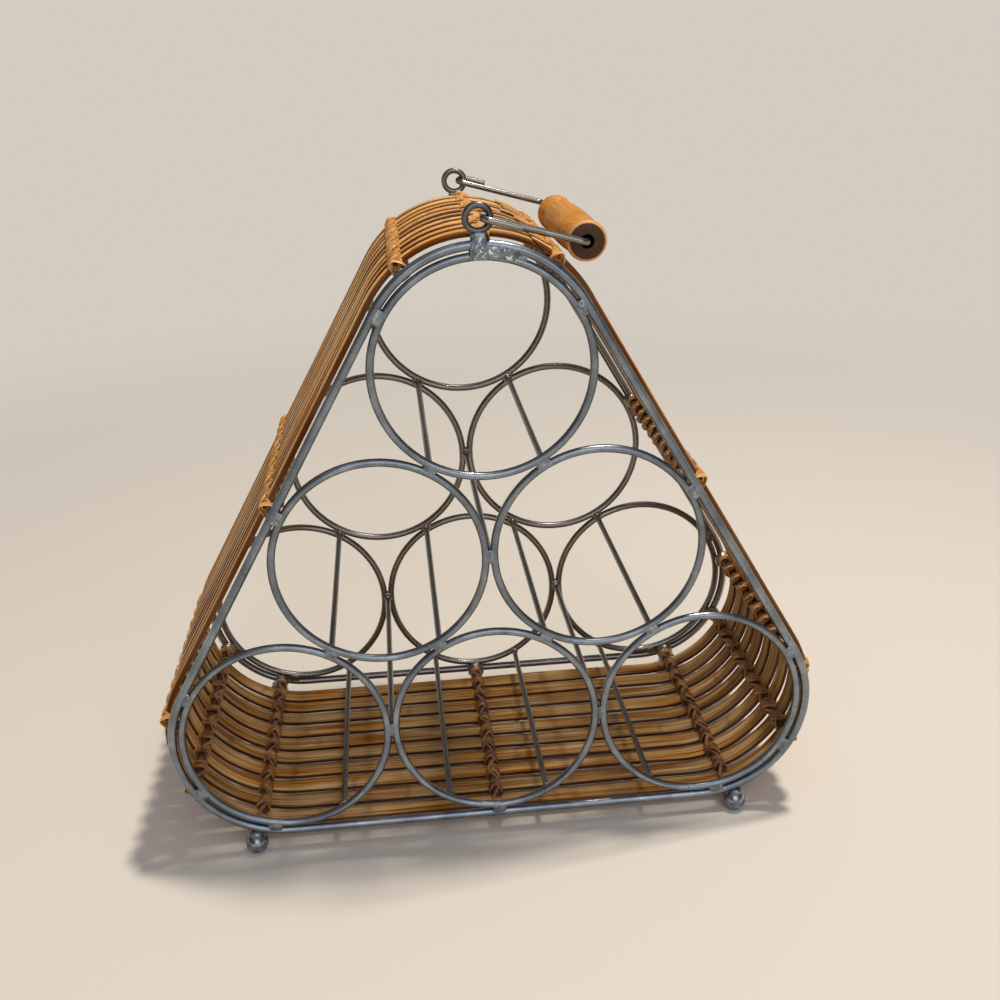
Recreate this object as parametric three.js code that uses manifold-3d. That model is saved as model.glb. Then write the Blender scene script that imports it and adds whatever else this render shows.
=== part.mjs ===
// A wicker wine rack for six bottles. Two welded wire end frames, each a rounded triangular hoop with
// six rings in it, are held apart by plain cross rods and by bars that carry a band of cane slats.
// Cane binder is wound round each bar and lashes the slats to it. The rack stands on four ball feet,
// and a wire bail with a turned wooden grip swings in two eyes on top.
// Millimetres, +Z up, X across the front, Y from front to back, and z = 0 on the floor under the feet.

import * as THREE from 'three';
import { mergeVertices } from 'three/addons/utils/BufferGeometryUtils.js';
import Module from 'manifold-3d';

const wasm = await Module();
wasm.setup();

// Clearances
const SEAT_GAP = 0.3; // between pieces that are welded, seated or resting
const WIND_GAP = 0.35; // round the cane binder, so that it clears the bar and the slats
const BAIL_PLAY = 0.35; // between the bail's hook and the eye that it hangs in
const GRIP_PLAY = 0.65; // round the bail in the grip's bore
const GRIP_END_PLAY = 0.6; // between the grip's front end and the bend of the bail that it lies against

// End frames
const RING_BORE = 101;
const RING_WIRE = 4;
const HOOP_WIRE = 4.5;
const CORNER_SLACK = 0.6; // the hoop's corners bend this much tighter than the rings inside them
const FRAME_SPACING = 157.4; // between the planes of the two frames
const ROD_D = 3.2;
const FLOOR_ROD_ANGLE = 30; // from the lowest point of a bottom ring

// Cane band
const BAR_D = 3.8;
const BAND_MARGIN = 6.8; // bare bar between a hoop and the nearest slat
const SLAT_WIDTH = 10.5;
const SLAT_THICK = 3;
const SLAT_EDGE = 0.6; // height of a slat's square edge under its rounded back
const SLAT_CROWN = 4.8; // width of the flat top of that back
const LAP_TIP = 0.6; // thickness of a slat's pared ends where they lap
const BINDER_D = 2;
const BINDER_BEND = 1.2; // how far from a corner the binder starts to bend

// Directions of the bars from the middle of the hoop's corner arcs, from the horizontal
const TOP_BAR_ANGLE = 88;
const UPPER_BAR_ANGLE = 52;
const LOW_BAR_ANGLE = 12;
const CORNER_BAR_ANGLE = -29;
const FOOT_BAR_ANGLE = -72;

// Feet, eyes, bail and grip
const FOOT_D = 12;
const FOOT_FLAT = 0.4; // depth of the flat on the underside
const EYE_BORE = 8.3;
const EYE_WIRE = 3.2;
const EYE_NECK = 1.4; // weld between the hoop and the eye
const EYE_NECK_WIDTH = 6.5;
const BAIL_WIRE = 3.3;
const BAIL_REACH = 50.5; // from the hook to the grip's axis
const BAIL_TAIL = 18;
const BAIL_BEND = 4;
const GRIP_LENGTH = 102;
const GRIP_D = 19.2;
const GRIP_MOUTH_FLARE = 0.9; // how much wider the bore is, all round, at its ends
const GRIP_MOUTH_DEPTH = 3;
const GRIP_RIM = 1; // chamfer on the end flanges
const GRIP_FLANGE = 5; // width of an end flange
const GRIP_NECK_CUT = 2; // depth of the neck behind a flange
const GRIP_NECK_AT = 10; // from the grip's end
const GRIP_BARREL_CUT = 0.2; // how much lower than the flanges the barrel is
const GRIP_BARREL_AT = 20; // from the grip's end to where the barrel reaches its full size
const GRIP_GROOVE = 0.5; // depth and half width of the turned grooves
const GRIP_GROOVE_AT = 26; // from the grip's middle

// Facet counts
const CORNER_STEPS = 9;
const RING_STEPS = 30;
const RING_SIDES = 5;
const HOOP_SIDES = 6;
const ROD_SIDES = 8;
const BAR_SIDES = 8;
const BINDER_SIDES = 4;
const FOOT_STEPS = 12;
const FOOT_RINGS = 6;
const EYE_STEPS = 20;
const EYE_SIDES = 8;
const BAIL_SIDES = 8;
const HOOK_STEPS = 8;
const BEND_STEPS = 4;
const GRIP_STEPS = 16;
const GAP_SAMPLES = 6; // points for each stretch of binder when its gap to itself is measured

// Sizes worked out from the ones above
const CORNER_TURN = 120;
const ringR = (RING_BORE + RING_WIRE) / 2;
const ringOuterR = RING_BORE / 2 + RING_WIRE;
const pitch = 2 * ringOuterR + SEAT_GAP;
const rowRise = pitch * Math.sin(rad(60));
const sideOffset = ringOuterR + SEAT_GAP + HOOP_WIRE / 2;
const cornerR = sideOffset - CORNER_SLACK;
const cornerShift = CORNER_SLACK / Math.sin(rad(30));
const frameY = FRAME_SPACING / 2;
const cornerStep = CORNER_TURN / CORNER_STEPS;
const facetRise = 1 / Math.cos(rad(cornerStep / 2));
const hoopReach = (cornerR + HOOP_WIRE / 2) * facetRise;

// The bottom row stands so high that the feet, welded under the hoops, just reach the floor
const footReach = hoopReach + SEAT_GAP + FOOT_D / 2;
const footCentreZ = FOOT_D / 2 - FOOT_FLAT;
const cornerDrop = cornerShift * Math.sin(rad(30));
const rowZ = footCentreZ - footReach * Math.sin(rad(FOOT_BAR_ANGLE)) + cornerDrop;

// Corner arcs of the hoop in order round it, each with the direction of its outward normal at its start
const topZ = rowZ + 2 * rowRise + cornerShift;
const lowX = pitch + cornerShift * Math.cos(rad(30));
const lowZ = rowZ - cornerDrop;
const corners = [
  { x: 0, z: topZ, from: 30 },
  { x: -lowX, z: lowZ, from: 150 },
  { x: lowX, z: lowZ, from: 270 },
];

// Slats share the band's width evenly, with room for the binder in each gap between them
const slatInner = BAR_D / 2 + SEAT_GAP;
const slatOuter = slatInner + SLAT_THICK;
const bandWidth = FRAME_SPACING - HOOP_WIRE - 2 * BAND_MARGIN;
const leastSlatGap = BINDER_D + 2 * WIND_GAP;
const slatCount = Math.floor((bandWidth + leastSlatGap) / (SLAT_WIDTH + leastSlatGap));
const slatPitch = (bandWidth - SLAT_WIDTH) / (slatCount - 1);
const slatY = Array.from({ length: slatCount }, (_, i) => (i - (slatCount - 1) / 2) * slatPitch);

// The binder passes inside the bar and outside the slats
const binderSide = BAR_D / 2 + WIND_GAP + BINDER_D / 2;
const slatFacetRise = (cornerR + slatOuter) * (facetRise - 1);
const binderTop = slatOuter + slatFacetRise + WIND_GAP + BINDER_D / 2;

// The hooks bear on the side of the eyes towards the grip, which rests on the lashing of an upper bar
const eyeR = (EYE_BORE + EYE_WIRE) / 2;
const neckZ = topZ + hoopReach + SEAT_GAP;
const eyeZ = neckZ + EYE_NECK + EYE_BORE / 2 + EYE_WIRE;
const pivotX = EYE_BORE / 2 - SEAT_GAP - BAIL_WIRE / 2;
const hookR = EYE_WIRE / 2 + BAIL_PLAY + BAIL_WIRE / 2;
const legY = frameY - hookR;
const gripHalf = GRIP_LENGTH / 2;
const gripY = gripHalf + GRIP_END_PLAY + BAIL_BEND - legY;
const gripRestR = cornerR + binderTop + BINDER_D / 2 + SEAT_GAP + GRIP_D / 2;
const pivotRise = eyeZ - topZ;
const pivotR = Math.hypot(pivotX, pivotRise);
const bailFall = (BAIL_REACH ** 2 + pivotR ** 2 - gripRestR ** 2) / (2 * BAIL_REACH * pivotR);
const bailDrop = Math.asin(bailFall) + Math.atan2(pivotX, pivotRise);

function rad(degrees) {
  return THREE.MathUtils.degToRad(degrees);
}

// Finishes
function steelWire() {
  return new THREE.MeshStandardMaterial({ color: 0x8a9097, roughness: 0.42, metalness: 0.9 });
}

function brightWire() {
  return new THREE.MeshStandardMaterial({ color: 0xb4b2ac, roughness: 0.3, metalness: 0.95 });
}

function cane() {
  return new THREE.MeshStandardMaterial({ color: 0xb07c3e, roughness: 0.6, metalness: 0 });
}

function caneBinder() {
  return new THREE.MeshStandardMaterial({ color: 0xc8974f, roughness: 0.55, metalness: 0 });
}

function turnedWood() {
  return new THREE.MeshStandardMaterial({ color: 0xc9832f, roughness: 0.45, metalness: 0 });
}

// Turns a closed surface so that its faces point out
function outward(geometry) {
  const at = geometry.getAttribute('position');
  const order = geometry.getIndex().array;
  const [a, b, c] = [new THREE.Vector3(), new THREE.Vector3(), new THREE.Vector3()];
  let volume = 0;
  for (let i = 0; i < order.length; i += 3) {
    a.fromBufferAttribute(at, order[i]);
    b.fromBufferAttribute(at, order[i + 1]);
    c.fromBufferAttribute(at, order[i + 2]);
    volume += a.dot(b.cross(c));
  }
  if (volume < 0) {
    order.reverse();
  }
  geometry.computeVertexNormals();
  return geometry;
}

// Joins rings of points into one closed surface, end to end or round a closed loop
function skin(rings, closed = false) {
  const sides = rings[0].length;
  const spans = closed ? rings.length : rings.length - 1;
  const index = [];
  for (let i = 0; i < spans; i += 1) {
    const here = i * sides;
    const next = ((i + 1) % rings.length) * sides;
    for (let j = 0; j < sides; j += 1) {
      const k = (j + 1) % sides;
      index.push(here + j, next + j, next + k);
      index.push(here + j, next + k, here + k);
    }
  }
  if (!closed) {
    const last = (rings.length - 1) * sides;
    for (let j = 1; j < sides - 1; j += 1) {
      index.push(0, j, j + 1);
      index.push(last, last + j + 1, last + j);
    }
  }
  const geometry = new THREE.BufferGeometry();
  geometry.setAttribute('position', new THREE.Float32BufferAttribute(
    rings.flat().flatMap((point) => point.toArray()), 3));
  geometry.setIndex(index);
  return outward(geometry);
}

// Round bar along a path of points, with the first ring's spokes set from the given side
function roundBar(path, diameter, sides, side) {
  const normal = side.clone();
  const rings = path.map((point, i) => {
    const before = path[Math.max(i - 1, 0)];
    const after = path[Math.min(i + 1, path.length - 1)];
    const inward = point.clone().sub(before).normalize();
    const onward = after.clone().sub(point).normalize();
    const along = inward.add(onward).normalize();
    normal.addScaledVector(along, -normal.dot(along)).normalize();
    const across = along.clone().cross(normal);
    return Array.from({ length: sides }, (_, j) => {
      const turn = (2 * Math.PI * j) / sides;
      return point.clone()
        .addScaledVector(normal, (diameter / 2) * Math.cos(turn))
        .addScaledVector(across, (diameter / 2) * Math.sin(turn));
    });
  });
  return skin(rings);
}

function solid(geometry) {
  const bare = new THREE.BufferGeometry();
  bare.setAttribute('position', geometry.getAttribute('position').clone());
  bare.setIndex(geometry.getIndex().clone());
  const merged = mergeVertices(bare, 1e-4);
  return new wasm.Manifold(new wasm.Mesh({
    numProp: 3,
    vertProperties: new Float32Array(merged.getAttribute('position').array),
    triVerts: new Uint32Array(merged.getIndex().array),
  }));
}

function join(first, second) {
  const mesh = solid(first).add(solid(second)).getMesh();
  const geometry = new THREE.BufferGeometry();
  geometry.setAttribute('position', new THREE.Float32BufferAttribute(mesh.vertProperties, 3));
  geometry.setIndex(Array.from(mesh.triVerts));
  geometry.computeVertexNormals();
  return geometry;
}

// Point of the hoop's outline, moved out by an offset, where its outward normal has the given direction
function outlinePoint(angle, offset, rise = 1) {
  const corner = corners[Math.floor((angle - corners[0].from) / CORNER_TURN) % corners.length];
  const reach = (cornerR + offset) * rise;
  return [corner.x + reach * Math.cos(rad(angle)), corner.z + reach * Math.sin(rad(angle))];
}

// Directions of the outline's facet corners, which stand just outside the arcs that they follow
function facetAngles() {
  return Array.from(
    { length: corners.length * CORNER_STEPS },
    (_, i) => corners[0].from + (i + 0.5) * cornerStep,
  );
}

function hoopGeometry() {
  const rings = facetAngles().map((angle) => Array.from({ length: HOOP_SIDES }, (_, j) => {
    const turn = (2 * Math.PI * j) / HOOP_SIDES;
    const [x, z] = outlinePoint(angle, (HOOP_WIRE / 2) * Math.cos(turn), facetRise);
    return new THREE.Vector3(x, (HOOP_WIRE / 2) * Math.sin(turn), z);
  }));
  return skin(rings, true);
}

// One cane slat: flat inside, rounded outside, bent once round the rack, with its pared ends lapped
// two facets long on the right of the top corner
function slatGeometry() {
  const lapFrom = corners[0].from + 2 * cornerStep;
  const lapSpan = 2 * cornerStep;
  const pared = SLAT_THICK - LAP_TIP;
  const stations = [{ angle: lapFrom, rise: 1, lift: 0, thick: LAP_TIP }];
  for (const angle of facetAngles()) {
    const along = (angle - lapFrom) / lapSpan;
    if (along > 0) {
      const thick = LAP_TIP + pared * Math.min(along, 1);
      stations.push({ angle, rise: facetRise, lift: 0, thick });
    }
  }
  const again = lapFrom + corners.length * CORNER_TURN;
  stations.push({ angle: again - 1.5 * cornerStep, rise: facetRise, lift: 0, thick: SLAT_THICK });
  stations.push({ angle: again - 0.5 * cornerStep, rise: facetRise, lift: 0, thick: SLAT_THICK });
  for (const steps of [0, 0.5, 1.5, 2]) {
    const along = (steps * cornerStep) / lapSpan;
    const rise = Number.isInteger(steps) ? 1 : facetRise;
    const lift = LAP_TIP + pared * along + SEAT_GAP;
    stations.push({ angle: again + steps * cornerStep, rise, lift, thick: SLAT_THICK - pared * along });
  }
  const rings = stations.map(({ angle, rise, lift, thick }) => {
    const edge = Math.min(SLAT_EDGE, thick / 2);
    const section = [
      [-SLAT_WIDTH / 2, 0],
      [SLAT_WIDTH / 2, 0],
      [SLAT_WIDTH / 2, edge],
      [SLAT_CROWN / 2, thick],
      [-SLAT_CROWN / 2, thick],
      [-SLAT_WIDTH / 2, edge],
    ];
    return section.map(([y, out]) => {
      const [x, z] = outlinePoint(angle, slatInner + lift + out, rise);
      return new THREE.Vector3(x, y, z);
    });
  });
  return skin(rings);
}

// The binder's path: a half turn in each gap between slats, inside the bar, and a slanting stretch over
// each slat. X runs along the slats, Y along the bar and Z out of the rack. It starts and ends in the bar.
function binderPath() {
  const gapY = [...slatY.map((y) => y - slatPitch / 2), slatY[slatCount - 1] + slatPitch / 2];
  const turns = [new THREE.Vector3(0, gapY[0], 0), new THREE.Vector3(0, gapY[0], -binderSide)];
  gapY.forEach((y, i) => {
    if (i > 0) {
      turns.push(new THREE.Vector3(binderSide, y, binderTop));
      turns.push(new THREE.Vector3(binderSide, y, -binderSide));
    }
    if (i < slatCount) {
      turns.push(new THREE.Vector3(-binderSide, y, -binderSide));
      turns.push(new THREE.Vector3(-binderSide, y, binderTop));
    }
  });
  turns.push(new THREE.Vector3(0, gapY[slatCount], -binderSide));
  turns.push(new THREE.Vector3(0, gapY[slatCount], 0));
  const path = [turns[0]];
  for (let i = 1; i < turns.length - 1; i += 1) {
    for (const neighbour of [turns[i - 1], turns[i + 1]]) {
      const towards = neighbour.clone().sub(turns[i]).setLength(BINDER_BEND);
      path.push(turns[i].clone().add(towards));
    }
  }
  path.push(turns[turns.length - 1]);
  return path;
}

// Least distance between stretches of a tube that aren't neighbours, less its diameter
function leastSelfGap(path, diameter) {
  const points = [];
  for (let i = 0; i < path.length - 1; i += 1) {
    for (let j = 0; j < GAP_SAMPLES; j += 1) {
      points.push({ stretch: i, at: path[i].clone().lerp(path[i + 1], j / GAP_SAMPLES) });
    }
  }
  const neighbours = 4;
  let least = Infinity;
  points.forEach((first, i) => {
    for (const second of points.slice(i + 1)) {
      if (second.stretch - first.stretch > neighbours) {
        least = Math.min(least, first.at.distanceTo(second.at));
      }
    }
  });
  return least - diameter;
}

function lashedBarGeometry() {
  const path = binderPath();
  const length = FRAME_SPACING - HOOP_WIRE - 2 * SEAT_GAP;
  const bar = new THREE.CylinderGeometry(BAR_D / 2, BAR_D / 2, length, BAR_SIDES);
  const binder = roundBar(path, BINDER_D, BINDER_SIDES, new THREE.Vector3(0, 1, 0));
  console.log(`binder: least gap to itself ${leastSelfGap(path, BINDER_D).toFixed(2)} mm`);
  return join(bar, binder);
}

function mirrored(geometry) {
  const copy = geometry.clone().scale(-1, 1, 1);
  return outward(copy);
}

// A ball with a small flat to stand on, its axis along Y until it is placed
function footGeometry() {
  const radius = FOOT_D / 2;
  const flatAngle = Math.asin((radius - FOOT_FLAT) / radius);
  const profile = [new THREE.Vector2(0, -radius + FOOT_FLAT)];
  for (let i = 0; i < FOOT_RINGS; i += 1) {
    const angle = -flatAngle + ((Math.PI / 2 + flatAngle) * i) / FOOT_RINGS;
    profile.push(new THREE.Vector2(radius * Math.cos(angle), radius * Math.sin(angle)));
  }
  profile.push(new THREE.Vector2(0, radius));
  return outward(new THREE.LatheGeometry(profile, FOOT_STEPS));
}

// A wire ring on a short weld neck
function eyeGeometry() {
  const ring = new THREE.TorusGeometry(eyeR, EYE_WIRE / 2, EYE_SIDES, EYE_STEPS).rotateX(Math.PI / 2);
  const neckHeight = eyeZ - eyeR - neckZ;
  const neck = new THREE.BoxGeometry(EYE_NECK_WIDTH, EYE_WIRE, neckHeight);
  neck.translate(0, 0, -eyeR - neckHeight / 2);
  return join(ring, neck);
}

// The bail in its own plane: X from the hooks to the grip, Y along the hooks and the grip
function bailPath() {
  const half = [[BAIL_TAIL, -frameY - hookR]];
  for (let i = 0; i <= HOOK_STEPS; i += 1) {
    const turn = rad(270 - (180 * i) / HOOK_STEPS);
    half.push([hookR + hookR * Math.cos(turn), -frameY + hookR * Math.sin(turn)]);
  }
  for (let i = 0; i <= BEND_STEPS; i += 1) {
    const turn = rad(-90 + (90 * i) / BEND_STEPS);
    half.push([
      BAIL_REACH - BAIL_BEND + BAIL_BEND * Math.cos(turn),
      -legY + BAIL_BEND + BAIL_BEND * Math.sin(turn),
    ]);
  }
  const otherHalf = half.map(([x, y]) => [x, -y]).reverse();
  return [...half, ...otherHalf].map(([x, y]) => new THREE.Vector3(x, y, 0));
}

// A turned barrel with an end flange at each side, a neck behind each flange and two grooves
function gripGeometry() {
  const boreR = BAIL_WIRE / 2 + GRIP_PLAY;
  const barrelR = GRIP_D / 2 - GRIP_BARREL_CUT;
  const half = [
    [boreR, gripHalf - GRIP_MOUTH_DEPTH],
    [boreR + GRIP_MOUTH_FLARE, gripHalf],
    [GRIP_D / 2 - GRIP_RIM, gripHalf],
    [GRIP_D / 2, gripHalf - GRIP_RIM],
    [GRIP_D / 2, gripHalf - GRIP_FLANGE],
    [GRIP_D / 2 - GRIP_NECK_CUT, gripHalf - GRIP_NECK_AT],
    [barrelR, gripHalf - GRIP_BARREL_AT],
    [barrelR, GRIP_GROOVE_AT + GRIP_GROOVE],
    [barrelR - GRIP_GROOVE, GRIP_GROOVE_AT],
    [barrelR, GRIP_GROOVE_AT - GRIP_GROOVE],
  ];
  const otherHalf = half.map(([r, y]) => [r, -y]).reverse();
  const profile = [...half, ...otherHalf, half[0]].map(([r, y]) => new THREE.Vector2(r, y));
  return outward(new THREE.LatheGeometry(profile, GRIP_STEPS));
}

// Where things are in the plane of a frame
const ringSites = {
  top: [0, rowZ + 2 * rowRise],
  mid_left: [-pitch / 2, rowZ + rowRise],
  mid_right: [pitch / 2, rowZ + rowRise],
  low_left: [-pitch, rowZ],
  low_middle: [0, rowZ],
  low_right: [pitch, rowZ],
};

const touchingRings = [
  ['top', 'mid_left'],
  ['top', 'mid_right'],
  ['mid_left', 'mid_right'],
  ['mid_left', 'low_left'],
  ['mid_left', 'low_middle'],
  ['mid_right', 'low_middle'],
  ['mid_right', 'low_right'],
  ['low_left', 'low_middle'],
  ['low_middle', 'low_right'],
];

const floorRods = {
  left: ['low_left', 1],
  middle_left: ['low_middle', -1],
  middle_right: ['low_middle', 1],
  right: ['low_right', -1],
};

// Middle of the hoop's straight side whose outward normal has the given direction
function sideMiddle(angle) {
  const ends = corners
    .filter(({ from }) => [0, CORNER_TURN].includes((angle - from + 360) % 360))
    .map(({ x, z }) => [x + cornerR * Math.cos(rad(angle)), z + cornerR * Math.sin(rad(angle))]);
  return [(ends[0][0] + ends[1][0]) / 2, (ends[0][1] + ends[1][1]) / 2];
}

const barSites = {
  top: { angle: TOP_BAR_ANGLE, at: outlinePoint(TOP_BAR_ANGLE, 0) },
  bottom: { angle: 270, at: sideMiddle(270) },
};
const rightBars = {
  upper: { angle: UPPER_BAR_ANGLE, at: outlinePoint(UPPER_BAR_ANGLE, 0) },
  mid: { angle: 30, at: sideMiddle(30) },
  low: { angle: LOW_BAR_ANGLE, at: outlinePoint(LOW_BAR_ANGLE + 360, 0) },
  corner: { angle: CORNER_BAR_ANGLE, at: outlinePoint(CORNER_BAR_ANGLE + 360, 0) },
  foot: { angle: FOOT_BAR_ANGLE, at: outlinePoint(FOOT_BAR_ANGLE + 360, 0) },
};

const rack = new THREE.Group();

function add(parent, name, geometry, material, x = 0, y = 0, z = 0) {
  const mesh = new THREE.Mesh(geometry, material);
  mesh.name = name;
  mesh.position.set(x, y, z);
  parent.add(mesh);
  return mesh;
}

// End frames: hoop, rings, eye and feet
const hoop = hoopGeometry();
const ring = new THREE.TorusGeometry(ringR, RING_WIRE / 2, RING_SIDES, RING_STEPS).rotateX(Math.PI / 2);
const eye = eyeGeometry();
const foot = footGeometry().rotateX(Math.PI / 2);
const footX = lowX + footReach * Math.cos(rad(FOOT_BAR_ANGLE));
for (const [end, y] of [['front', -frameY], ['back', frameY]]) {
  const frame = new THREE.Group();
  frame.position.y = y;
  rack.add(frame);
  add(frame, `${end}_hoop`, hoop, steelWire());
  for (const [site, [x, z]] of Object.entries(ringSites)) {
    add(frame, `${end}_ring_${site}`, ring, steelWire(), x, 0, z);
  }
  add(frame, `${end}_eye`, eye, steelWire(), 0, 0, eyeZ);
  add(frame, `${end}_foot_left`, foot, steelWire(), -footX, 0, footCentreZ);
  add(frame, `${end}_foot_right`, foot, steelWire(), footX, 0, footCentreZ);
}

// Cross rods: one where two rings touch, and four under the bottom rings
const rodLength = FRAME_SPACING - RING_WIRE - 2 * SEAT_GAP;
const rod = new THREE.CylinderGeometry(ROD_D / 2, ROD_D / 2, rodLength, ROD_SIDES);
for (const [one, other] of touchingRings) {
  const x = (ringSites[one][0] + ringSites[other][0]) / 2;
  const z = (ringSites[one][1] + ringSites[other][1]) / 2;
  add(rack, `cross_rod_${one}_to_${other}`, rod, steelWire(), x, 0, z);
}
for (const [site, [ringSite, way]] of Object.entries(floorRods)) {
  const x = ringSites[ringSite][0] + way * ringR * Math.sin(rad(FLOOR_ROD_ANGLE));
  const z = ringSites[ringSite][1] - ringR * Math.cos(rad(FLOOR_ROD_ANGLE));
  add(rack, `floor_rod_${site}`, rod, steelWire(), x, 0, z);
}

// Cane band: lashed bars and slats
const lashedBar = lashedBarGeometry();
const lashedBarLeft = mirrored(lashedBar);
function addLashedBar(name, geometry, angle, [x, z]) {
  const mesh = add(rack, `lashed_bar_${name}`, geometry, caneBinder(), x, 0, z);
  mesh.rotation.y = rad(90 - angle);
}
for (const [site, { angle, at }] of Object.entries(barSites)) {
  addLashedBar(site, lashedBar, angle, at);
}
for (const [site, { angle, at }] of Object.entries(rightBars)) {
  addLashedBar(`${site}_right`, lashedBar, angle, at);
  addLashedBar(`${site}_left`, lashedBarLeft, 180 - angle, [-at[0], at[1]]);
}
const slat = slatGeometry();
slatY.forEach((y, i) => {
  add(rack, `cane_slat_${String(i + 1).padStart(2, '0')}`, slat, cane(), 0, y, 0);
});

// Bail, folded down to the right, and its grip
const bail = new THREE.Group();
bail.position.set(pivotX, 0, eyeZ);
bail.rotation.y = bailDrop;
rack.add(bail);
const bailGeometry = roundBar(bailPath(), BAIL_WIRE, BAIL_SIDES, new THREE.Vector3(0, 0, 1));
add(bail, 'bail_handle', bailGeometry, brightWire());
add(bail, 'wooden_grip', gripGeometry(), turnedWood(), BAIL_REACH, gripY, 0);

export default rack;
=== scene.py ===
# The looks of a wicker wine rack: welded wire frames, a band of split cane lashed to them, and a bail
# with a turned grip. Shapes are modelled in millimetres in the rack's own frame, X across the front,
# Y from front to back and Z up from the floor, and become metres when a piece is finished.

import math
import random

import bmesh
import bpy
from mathutils import Matrix, Vector, noise


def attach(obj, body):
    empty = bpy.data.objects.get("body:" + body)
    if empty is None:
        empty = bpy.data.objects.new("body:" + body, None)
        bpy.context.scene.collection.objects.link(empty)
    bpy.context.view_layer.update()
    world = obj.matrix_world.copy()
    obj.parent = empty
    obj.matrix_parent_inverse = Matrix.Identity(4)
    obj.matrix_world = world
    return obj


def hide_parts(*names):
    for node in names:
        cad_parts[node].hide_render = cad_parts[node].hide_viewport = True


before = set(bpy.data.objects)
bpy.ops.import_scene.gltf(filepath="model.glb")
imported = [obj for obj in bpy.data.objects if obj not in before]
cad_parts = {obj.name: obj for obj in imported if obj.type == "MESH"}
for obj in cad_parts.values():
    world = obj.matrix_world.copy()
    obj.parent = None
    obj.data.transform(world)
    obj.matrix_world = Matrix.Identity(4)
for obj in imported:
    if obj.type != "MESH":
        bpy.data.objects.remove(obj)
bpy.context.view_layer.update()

MM = 0.001
RIGHT = Vector((1, 0, 0))
BACK = Vector((0, 1, 0))
UP = Vector((0, 0, 1))
chance = random.Random(11)

# End frames
RING_R = 52.5  # to the middle of the wire
RING_WIRE = 4
HOOP_WIRE = 4.5
RING_PITCH = 109.3
LOW_ROW_Z = 68.4
ROW_RISE = RING_PITCH * math.sin(math.radians(60))
FRAME_Y = 78.7
CORNER_R = 56.45  # of the hoop's bends, to the middle of the wire
CORNER_SHIFT = 1.2  # from the middle of a corner ring to the middle of the bend round it
FIRST_BEND = 30  # degrees, where the bend over the top begins
BEND_TURN = 120
ROD_D = 3.2
FLOOR_ROD_ANGLE = 30
WARM_REFLECTION_FROM = -78  # along Y, where painted reflection begins to warm the steel and welds toward the back
WARM_REFLECTION_TO = -50

# Welds, each as far as it spreads along its joint, across it and from front to back
RING_WELD = (7.5, 6, 3.8)
RING_ROD_WELD = (4.8, 5.4, 4)
HOOP_WELD = (8.2, 6.8, 4.2)
FLOOR_ROD_WELD = (4.8, 4.8, 4)
FRONT_BAR_WELD = (5.2, 5.6, 4)
BACK_BAR_WELD = (10, 10.4, 8)
FOOT_WELD = (7.5, 4.4, 6.4)
RUN_IN = 0.4  # how square a weld is that has run in between two wires

# Cane band
BAR_D = 3.8
TOP_BAR_ANGLE = 88
BOTTOM_BAR_ANGLE = 270
RIGHT_BAR_ANGLES = {"upper": 52, "mid": 30, "low": 12, "corner": -29, "foot": -72}
SLAT_COUNT = 10
SLAT_PITCH = 14.311
SLAT_WIDTH = 10.5
SLAT_THICK = 3
SLAT_INNER = 2.2  # from the middle of the bars to the slats' inner face
LAP_FROM = 56.7
LAP_TIP = 0.6
LAP_GAP = 0.15
LAP_CLIMB = 8  # degrees over which a slat rises onto its first end
GROWTH_SPACING = 130  # between the nodes where the cane grew leaves
STRAND_WIDE = 2.4
STRAND_THICK = 1.1
STRAND_SIDE = 2.6  # from the middle of a bar to a strand beside it
DARKENS_BELOW = 3.4  # over the middle of a bar, where the binder begins to darken, partly stain and partly painted shade
COIL_FROM = 69.4
COIL_TO = 71.8
LOOP_Y = 73

# Feet, eyes, bail and grip
FOOT_R = 6
FOOT_X = 130.55
FOOT_Z = 5.6
EYE_R = 5.75
EYE_WIRE = 3.2
EYE_Z = 327.06
BAIL_WIRE = 3.3
BAIL_PIVOT_X = 2.2
BAIL_DROP = math.radians(15.935)
BAIL_REACH = 50.5
BAIL_TAIL = 18
BAIL_BEND = 4
HOOK_R = 3.6
GRIP_R = 9.6
GRIP_BORE_R = 2.3
GRIP_HALF = 51
GRIP_Y = -19.5

# Stage, in metres
FLOOR_HALF = 40
FLOOR_FADES_FROM = 0.3
FLOOR_FADES_TO = 1.3
LAMP_AIM = Vector((0, 0, 0.16))

corner_x = RING_PITCH + CORNER_SHIFT * math.cos(math.radians(30))
corner_z = LOW_ROW_Z - CORNER_SHIFT / 2
mid_row_z = LOW_ROW_Z + ROW_RISE
top_row_z = LOW_ROW_Z + 2 * ROW_RISE
corners = [
    Vector((0, 0, top_row_z + CORNER_SHIFT)),
    Vector((-corner_x, 0, corner_z)),
    Vector((corner_x, 0, corner_z)),
]
ring_sites = {
    "top": Vector((0, 0, top_row_z)),
    "mid_left": Vector((-RING_PITCH / 2, 0, mid_row_z)),
    "mid_right": Vector((RING_PITCH / 2, 0, mid_row_z)),
    "low_left": Vector((-RING_PITCH, 0, LOW_ROW_Z)),
    "low_middle": Vector((0, 0, LOW_ROW_Z)),
    "low_right": Vector((RING_PITCH, 0, LOW_ROW_Z)),
}
touching_rings = [
    ("top", "mid_left"),
    ("top", "mid_right"),
    ("mid_left", "mid_right"),
    ("mid_left", "low_left"),
    ("mid_left", "low_middle"),
    ("mid_right", "low_middle"),
    ("mid_right", "low_right"),
    ("low_left", "low_middle"),
    ("low_middle", "low_right"),
]
# Where each ring is welded to the hoop, in degrees
hoop_welds = {
    "top": (30, 150),
    "mid_left": (150,),
    "mid_right": (30,),
    "low_left": (150, 212, 259),
    "low_middle": (270,),
    "low_right": (30, 328, 281),
}
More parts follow.
